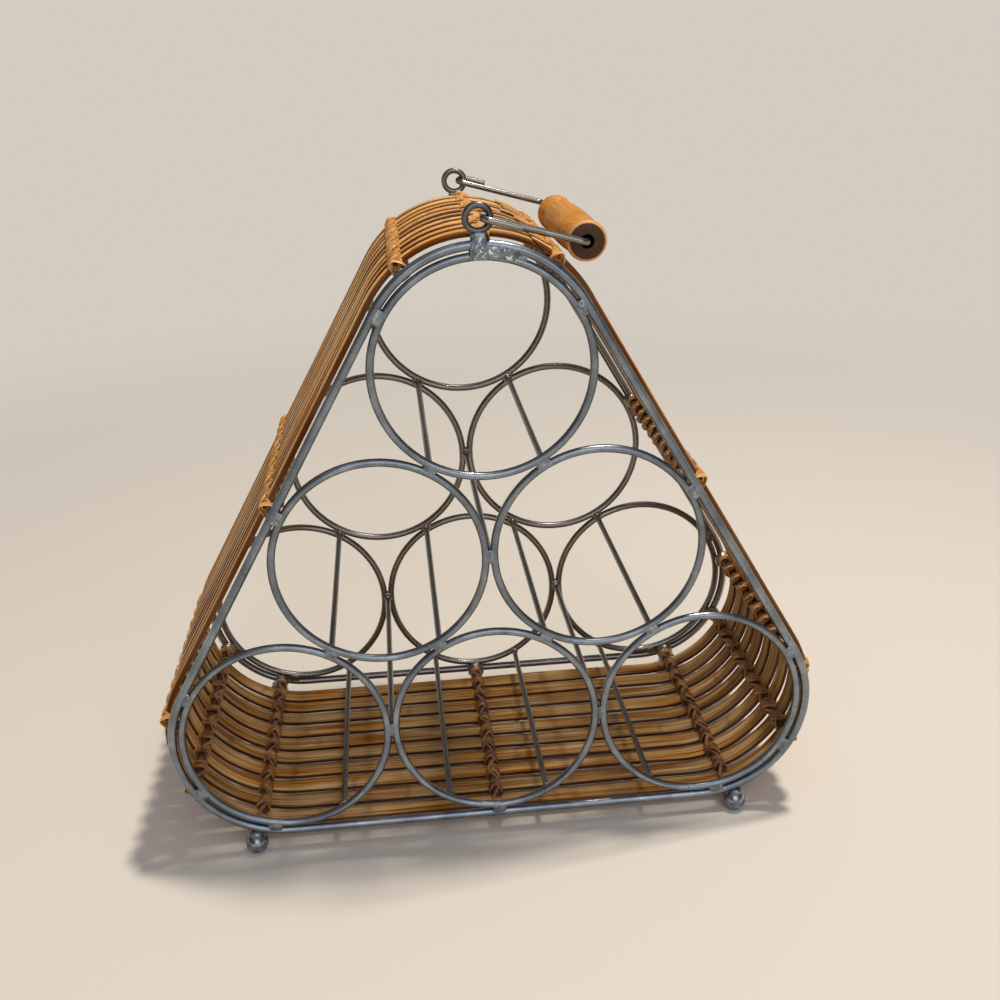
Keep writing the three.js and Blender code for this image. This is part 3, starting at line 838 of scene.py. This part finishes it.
def lay_strand():
    """A strand that goes from knot to knot, crossing the bar between them."""
    points = []
    for i in range(2 * SLAT_COUNT + 1):
        y = 0.98 * (i / 2 - SLAT_COUNT / 2) * SLAT_PITCH
        across = (1, 0, -1, 0)[i % 4]
        shake = [chance.uniform(-0.4, 0.4) for _ in range(3)]
        rise = -2.9 + 0.9 * abs(across) + 0.3 * shake[2]
        out = (0.7 * across, 0, -1)
        points.append([STRAND_SIDE * across + shake[0], y + shake[1], rise, *out, 1.9, 1.3])
    return smooth_run(points, 3)


def add_sleeve(bm, site):
    """The thin first winding that covers the bar, ribbed by its turns."""
    reach = 70
    turn = 2.4
    run = []
    for i in range(round(2 * reach / turn) * 2 + 1):
        radius = 2.35 if i % 2 == 0 else 2.1
        place = Vector((0, -reach + i * turn / 2, 0))
        run.append(site @ station(place, RIGHT, UP, radius, radius))
    # Inward 2 makes the sleeve nearly black: painted shade in the hollows between the knots
    draw(bm, circle(1, 10), run, None, {"along": lengths(run), "inward": [2] * len(run)})


def end_coil(end):
    """The last turn of the binder round the end of the bar."""
    rows = []
    radius = 2.8
    steps = 9
    for i in range(steps + 1):
        angle = 2 * math.pi * i / steps
        y = end * COIL_FROM + (end * COIL_TO - end * COIL_FROM) * i / steps
        out = (math.sin(angle), 0, math.cos(angle))
        rows.append([radius * out[0], y, radius * out[2], *out, 2.2, 1.2])
    return rows


def end_loop(end):
    """The folded end of the binder, a pointed loop that stands on the bar beside the last slat."""
    outline = [
        (-2.2, -2.7), (2.2, -2.7), (3.2, -0.4), (2.9, 3.2), (0.6, 6.4),
        (-1.2, 6.2), (-3.1, 3), (-3.2, -0.4), (-2.2, -2.8),
    ]
    points = []
    for i, (x, z) in enumerate(outline):
        out = Vector((x, 0, z - 1.2)).normalized()
        lean = end * 0.9 * (z / 6.5)
        points.append([x, end * LOOP_Y - lean + 0.25 * end * i / len(outline), z, *out, 4, 1.1])
    return smooth_run(points, 4)


def add_lashing(name, angle, place, hand):
    """The binder wound round one bar, and the bar inside it."""
    out = outward(angle)
    stain = lashing_stain_and_shade.get(name, 1)
    site = station(place, Vector((out.z, 0, -out.x)), BACK)
    site.col[2] = (*out, 0)
    bm = new_mesh("along", "across", "inward")
    for way in (hand, -hand):
        strip(bm, lashing_strand(way), site, stain)
    strip(bm, lay_strand(), site, stain)
    add_sleeve(bm, site)
    for end in (-1, 1):
        strip(bm, end_coil(end), site, stain)
        # The low right one has no loop at its front end
        if (name, end) != ("low_right", -1):
            strip(bm, end_loop(end), site, 0.3)
    finish(bm, f"lashing_{name}", binder, "rack", f"lashed_bar_{name}", sharp=80)
    add_rod(f"lashing_bar_{name}", place.x, place.z, BAR_D, FRAME_Y - 1)


# Bail and grip

def bail_places():
    """The bail's line in its own plane, from one cut end to the other, as it is bent."""
    half = [(BAIL_TAIL, -FRAME_Y - HOOK_R), (BAIL_TAIL * 0.6, -FRAME_Y - HOOK_R)]
    hook_steps = 16
    for i in range(hook_steps + 1):
        turn = math.radians(270 - 180 * i / hook_steps)
        half.append((HOOK_R + HOOK_R * math.cos(turn), -FRAME_Y + HOOK_R * math.sin(turn)))
    leg = FRAME_Y - HOOK_R
    bend_steps = 8
    for i in range(bend_steps + 1):
        turn = math.radians(-90 + 90 * i / bend_steps)
        half.append((
            BAIL_REACH - BAIL_BEND + BAIL_BEND * math.cos(turn),
            -leg + BAIL_BEND + BAIL_BEND * math.sin(turn),
        ))
    return half + [(x, -y) for x, y in reversed(half)]


def add_bail():
    bm = new_mesh()
    fold = Matrix.Translation((BAIL_PIVOT_X, 0, EYE_Z)) @ Matrix.Rotation(BAIL_DROP, 4, "Y")
    places = [Vector((x, y, 0)) for x, y in bail_places()]
    # The far tail is bent up out of the bail's plane, and is cut shorter
    tail_rise = 2
    bent_places = 12
    for i in range(1, bent_places):
        places[-i].z = tail_rise * min(1, (bent_places - i) / 8)
    places[-1].x -= 2.5
    places[-2].x -= 1.5
    run = []
    for i, place in enumerate(places):
        ahead = (places[min(i + 1, len(places) - 1)] - places[max(i - 1, 0)]).normalized()
        run.append(fold @ station(place, UP.cross(ahead), UP))
    draw(bm, circle(BAIL_WIRE / 2, 14), run)
    finish(bm, "bail_wire", bright_wire, "bail", "bail_handle")


def add_grip():
    bm = new_mesh()
    # Radius, and distance from the middle, from the bore round the end to the swelling in the middle
    half = [
        (GRIP_BORE_R, GRIP_HALF - 13), (GRIP_BORE_R + 0.7, GRIP_HALF - 12),
        (GRIP_BORE_R + 0.8, GRIP_HALF - 0.3), (GRIP_BORE_R + 1, GRIP_HALF),
        (GRIP_R - 1.7, GRIP_HALF), (GRIP_R - 0.8, GRIP_HALF - 0.5), (GRIP_R - 0.2, GRIP_HALF - 1.4),
        (GRIP_R, GRIP_HALF - 2.8), (GRIP_R - 0.1, GRIP_HALF - 4.6), (GRIP_R - 0.7, GRIP_HALF - 6),
        (GRIP_R - 1.8, GRIP_HALF - 7.8), (GRIP_R - 2.2, GRIP_HALF - 10), (GRIP_R - 1.9, GRIP_HALF - 13),
        (GRIP_R - 1, GRIP_HALF - 17), (GRIP_R - 0.4, GRIP_HALF - 21),
        (GRIP_R - 0.2, 26.6), (GRIP_R - 0.7, 26.2), (GRIP_R - 0.7, 25.8), (GRIP_R - 0.1, 25.4),
        (GRIP_R + 0.2, 16), (GRIP_R + 0.35, 6),
    ]
    profile = half + [(r, -y) for r, y in reversed(half)]
    verts = [bm.verts.new((r, y, 0)) for r, y in profile]
    outline = [bm.edges.new(pair) for pair in zip(verts, verts[1:] + verts[:1])]
    turn_on_lathe(bm, verts + outline, steps=56)
    bmesh.ops.translate(bm, vec=grip_axis, verts=bm.verts)
    finish(bm, "turned_grip", hardwood, "grip", "wooden_grip", sharp=40)


# The pieces
steel = plated_steel_wire("plated_steel_wire", "#6C737B", "#848C94", "#A0A7AF")
scorched = plated_steel_wire("scorched_steel_wire", "#4C4D4E", "#6A6B6B", "#8E8D8A")
weld_bead = weld_metal("weld_metal", 0.3)
weld_patch = weld_metal("spattered_weld_metal", 0.85)
bright_wire = bright_drawn_wire()
ball = polished_steel_ball()
cane = split_cane()
binder = cane_binder()
hardwood = turned_hardwood()

bar_sites = {
    "top": (TOP_BAR_ANGLE, on_bend(TOP_BAR_ANGLE)),
    "bottom": (BOTTOM_BAR_ANGLE, side_middle(BOTTOM_BAR_ANGLE)),
}
for site, angle in RIGHT_BAR_ANGLES.items():
    place = side_middle(angle) if site == "mid" else on_bend(angle)
    bar_sites[f"{site}_right"] = (angle, place)
    bar_sites[f"{site}_left"] = (180 - angle, Vector((-place.x, 0, place.z)))
down = math.radians(FLOOR_ROD_ANGLE)
floor_rod_places = []
for ring, way in floor_rods.values():
    centre = ring_sites[ring]
    x = centre.x + way * RING_R * math.sin(down)
    z = centre.z - RING_R * math.cos(down)
    floor_rod_places.append((x, z))

for end, y in (("front", -FRAME_Y), ("back", FRAME_Y)):
    add_hoop(end, y)
    for site, centre in ring_sites.items():
        add_ring(end, y, site, centre)
    add_frame_welds(end, y)
    add_foot(end, y, "left", -FOOT_X)
    add_foot(end, y, "right", FOOT_X)
    add_eye(end, y)
    add_eye_weld(end, y)
rod_half = FRAME_Y - RING_WIRE / 2
for one, other in touching_rings:
    middle = (ring_sites[one] + ring_sites[other]) / 2
    node = f"cross_rod_{one}_to_{other}"
    add_rod(f"{node}_wire", middle.x, middle.z, ROD_D, rod_half, node)
for site, (x, z) in zip(floor_rods, floor_rod_places):
    add_rod(f"floor_rod_{site}_wire", x, z, ROD_D, rod_half, f"floor_rod_{site}")
for number in range(1, SLAT_COUNT + 1):
    add_slat(number, (number - (SLAT_COUNT + 1) / 2) * SLAT_PITCH)
for name, (angle, place) in bar_sites.items():
    add_lashing(name, angle, place, -1 if name.endswith("left") else 1)
add_bail()
add_grip()


# Floor, light and camera

def add_floor():
    """A pale board that turns into an even pale ground far from the rack, where the camera sees it."""
    bm = new_mesh()
    bmesh.ops.create_grid(bm, x_segments=1, y_segments=1, size=FLOOR_HALF)
    mesh = bpy.data.meshes.new("floor")
    bm.to_mesh(mesh)
    bm.free()
    material, tree = new_material("pale_matt_board")
    distance = length_of(tree, object_place(tree))
    far = remap(tree, distance, FLOOR_FADES_FROM, FLOOR_FADES_TO, smooth=True)
    ray = add(tree, "ShaderNodeLightPath").outputs
    mirrored = figure(tree, "MAXIMUM", ray["Is Camera Ray"], ray["Is Glossy Ray"])
    seen = figure(tree, "MAXIMUM", mirrored, ray["Is Transmission Ray"])
    share = figure(tree, "MULTIPLY", far, seen)
    matt = add(tree, "ShaderNodeBsdfPrincipled", {"Base Color": colour("#DED7CC"), "Roughness": 0.8})
    pale = add(tree, "ShaderNodeEmission", {"Color": colour("#D4CCC1"), "Strength": 1})
    surface = add(
        tree, "ShaderNodeMixShader", {0: share, 1: matt.outputs["BSDF"], 2: pale.outputs["Emission"]},
    )
    add(tree, "ShaderNodeOutputMaterial", {"Surface": surface.outputs["Shader"]})
    mesh.materials.append(material)
    floor = bpy.data.objects.new("floor", mesh)
    bpy.context.scene.collection.objects.link(floor)


def add_lamp(name, place, size, power, tint):
    lamp = bpy.data.lights.new(name, "AREA")
    lamp.size = size
    lamp.energy = power
    lamp.color = colour(tint)[:3]
    holder = bpy.data.objects.new(name, lamp)
    holder.location = place
    holder.rotation_euler = (LAMP_AIM - Vector(place)).to_track_quat("-Z", "Y").to_euler()
    bpy.context.scene.collection.objects.link(holder)


def add_sky():
    """Soft light from overhead, with a dimmer ring at half height that wires show as their darker sides."""
    world = bpy.data.worlds.new("studio")
    world.use_nodes = True
    tree = world.node_tree
    tree.nodes.clear()
    way = add(tree, "ShaderNodeTexCoord").outputs["Generated"]
    shade = ramp(tree, axis_of(tree, way, "Z"), [
        (0, "#FFF5E9"), (0.08, "#FFF5E9"), (0.25, "#7F7E7B"),
        (0.45, "#767779"), (0.75, "#A4A4A8"), (1, "#DADADC"),
    ])
    light = add(tree, "ShaderNodeBackground", {"Color": shade, "Strength": 0.66})
    add(tree, "ShaderNodeOutputWorld", {"Surface": light.outputs["Background"]})
    bpy.context.scene.world = world


def add_camera():
    data = bpy.data.cameras.new("camera")
    data.lens = 41.58
    camera = bpy.data.objects.new("camera", data)
    place = Vector((-0.04155, -0.59949, 0.39724))
    right = Vector((0.99423, -0.10269, -0.03092))
    down = Vector((-0.06614, -0.36018, -0.93054))
    ahead = Vector((0.08442, 0.92722, -0.36489))
    camera.matrix_world = Matrix((
        (right.x, -down.x, -ahead.x, place.x),
        (right.y, -down.y, -ahead.y, place.y),
        (right.z, -down.z, -ahead.z, place.z),
        (0, 0, 0, 1),
    ))
    bpy.context.scene.collection.objects.link(camera)
    bpy.context.scene.camera = camera


add_floor()
add_lamp("key", (0.42, 0.1, 1.9), 0.16, 27, "#FFF5E8")
add_lamp("front_fill", (0.2, -1.5, 1), 1.4, 10, "#EEF2FF")
add_sky()
add_camera()
bpy.context.scene.view_settings.view_transform = "Standard"
